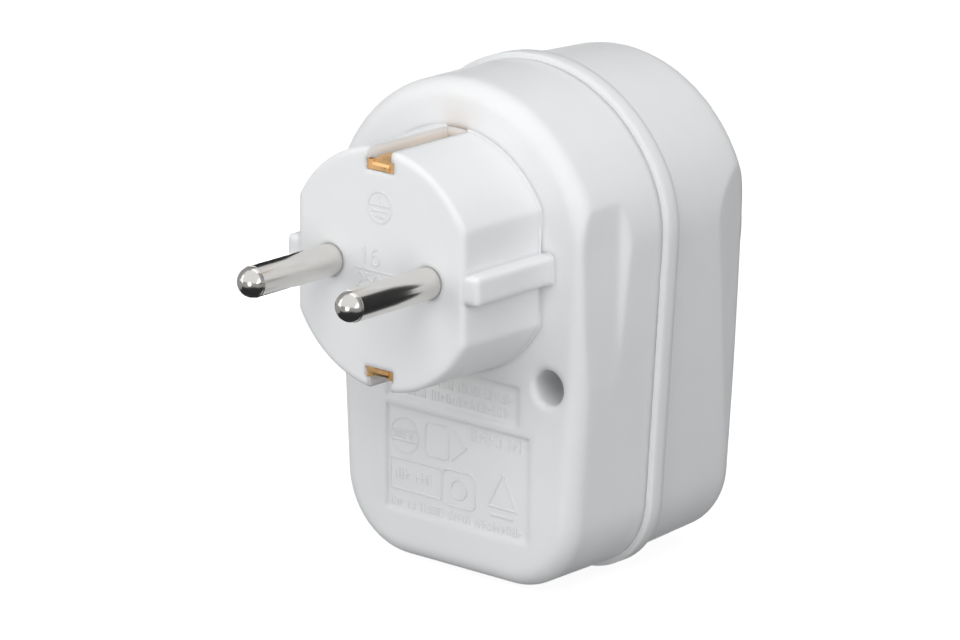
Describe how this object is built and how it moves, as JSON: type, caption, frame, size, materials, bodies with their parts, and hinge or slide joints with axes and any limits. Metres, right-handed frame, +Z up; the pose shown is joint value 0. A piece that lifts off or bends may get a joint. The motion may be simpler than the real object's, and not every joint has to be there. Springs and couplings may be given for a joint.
{
  "type": "plug in power meter",
  "caption": "Plug-through electricity meter: earthed round plug behind an arch-topped case, with a socket, a display and keys on its front.",
  "frame": {"origin": "centre of the plug's face, midway between its two pins", "axes": "+Y out of the plug's face, the way the pins point into the wall; +Z up, towards the arched end; +X to the right as the user sees the front, which faces -Y"},
  "size_m": [0.0514, 0.0773, 0.0772],
  "materials": {
    "case_plastic": "satin white moulded",
    "plug_plastic": "satin white moulded",
    "insert_plastic": "matt warm white",
    "nickel": "bright nickel plate",
    "brass": "bright",
    "steel": "zinc plated",
    "spring_steel": "plain",
    "board": "solder mask",
    "component_black": "moulded",
    "capacitor_yellow": "boxed film capacitor",
    "capacitor_sleeve": "shrink sleeve",
    "varistor_blue": "epoxy dipped",
    "resistor_green": "lacquer",
    "alloy": "resistance alloy",
    "display_glass": "liquid crystal cell",
    "window": "polished",
    "elastomer": "soft",
    "key_rubber": "soft",
    "key_plastic": "satin grey moulded"
  },
  "bodies": {
    "case": {"rear_shell": "case_plastic", "front_shell": "case_plastic", "plug_body": "plug_plastic", "pin_carrier": "insert_plastic", "pin_live": "nickel", "pin_neutral": "nickel", "plug_earth_clip": "brass", "socket_earth_clip": "brass", "earth_link": "brass", "housing_screws": "steel", "socket_base": "insert_plastic", "shutter_spring": "spring_steel", "socket_contact_live": "brass", "socket_contact_neutral": "brass", "live_busbar": "brass", "neutral_busbar": "brass", "socket_base_screws": "steel", "main_board": "board", "suppressor_capacitor": "capacitor_yellow", "smoothing_capacitor": "capacitor_sleeve", "varistor": "varistor_blue", "fuse_resistor": "resistor_green", "metering_chip": "component_black", "crystal": "steel", "board_link": "component_black", "shunt": "alloy", "board_screws": "steel", "display_board": "board", "display_frame": "component_black", "display_glass": "display_glass", "zebra_strips": "elastomer", "display_window": "window", "display_screws": "steel", "display_chip": "component_black", "backup_cell": "steel", "cell_clip": "steel", "key_mat": "key_rubber"},
    "key_mode_body": {"key_mode": "key_plastic"},
    "key_set_body": {"key_set": "key_plastic"},
    "key_down_body": {"key_down": "key_plastic"},
    "key_up_body": {"key_up": "key_plastic"},
    "reset_body": {"reset_pin": "key_plastic"},
    "shutter_body": {"shutter": "plug_plastic"}
  },
  "joints": [
    {"name": "mode_press", "type": "slide", "parent": "case", "child": "key_mode_body", "axis": [0, 1, 0], "range_m": [0, 0.0008], "stiffness_N_per_m": 300, "springref_m": -0.0006},
    {"name": "set_press", "type": "slide", "parent": "case", "child": "key_set_body", "axis": [0, 1, 0], "range_m": [0, 0.0008], "stiffness_N_per_m": 300, "springref_m": -0.0006},
    {"name": "down_press", "type": "slide", "parent": "case", "child": "key_down_body", "axis": [0, 1, 0], "range_m": [0, 0.0008], "stiffness_N_per_m": 300, "springref_m": -0.0006},
    {"name": "up_press", "type": "slide", "parent": "case", "child": "key_up_body", "axis": [0, 1, 0], "range_m": [0, 0.0008], "stiffness_N_per_m": 300, "springref_m": -0.0006},
    {"name": "reset_press", "type": "slide", "parent": "case", "child": "reset_body", "axis": [0, 1, 0], "range_m": [0, 0.0006], "stiffness_N_per_m": 300, "springref_m": -0.0006},
    {"name": "shutter_turn", "type": "hinge", "parent": "case", "child": "shutter_body", "pos_m": [0, -0.037, 0], "axis": [0, 1, 0], "range_deg": [0, 36], "stiffness_Nm_per_rad": 0.002, "springref_deg": -17.19, "deforming": ["shutter_spring"]}
  ]
}
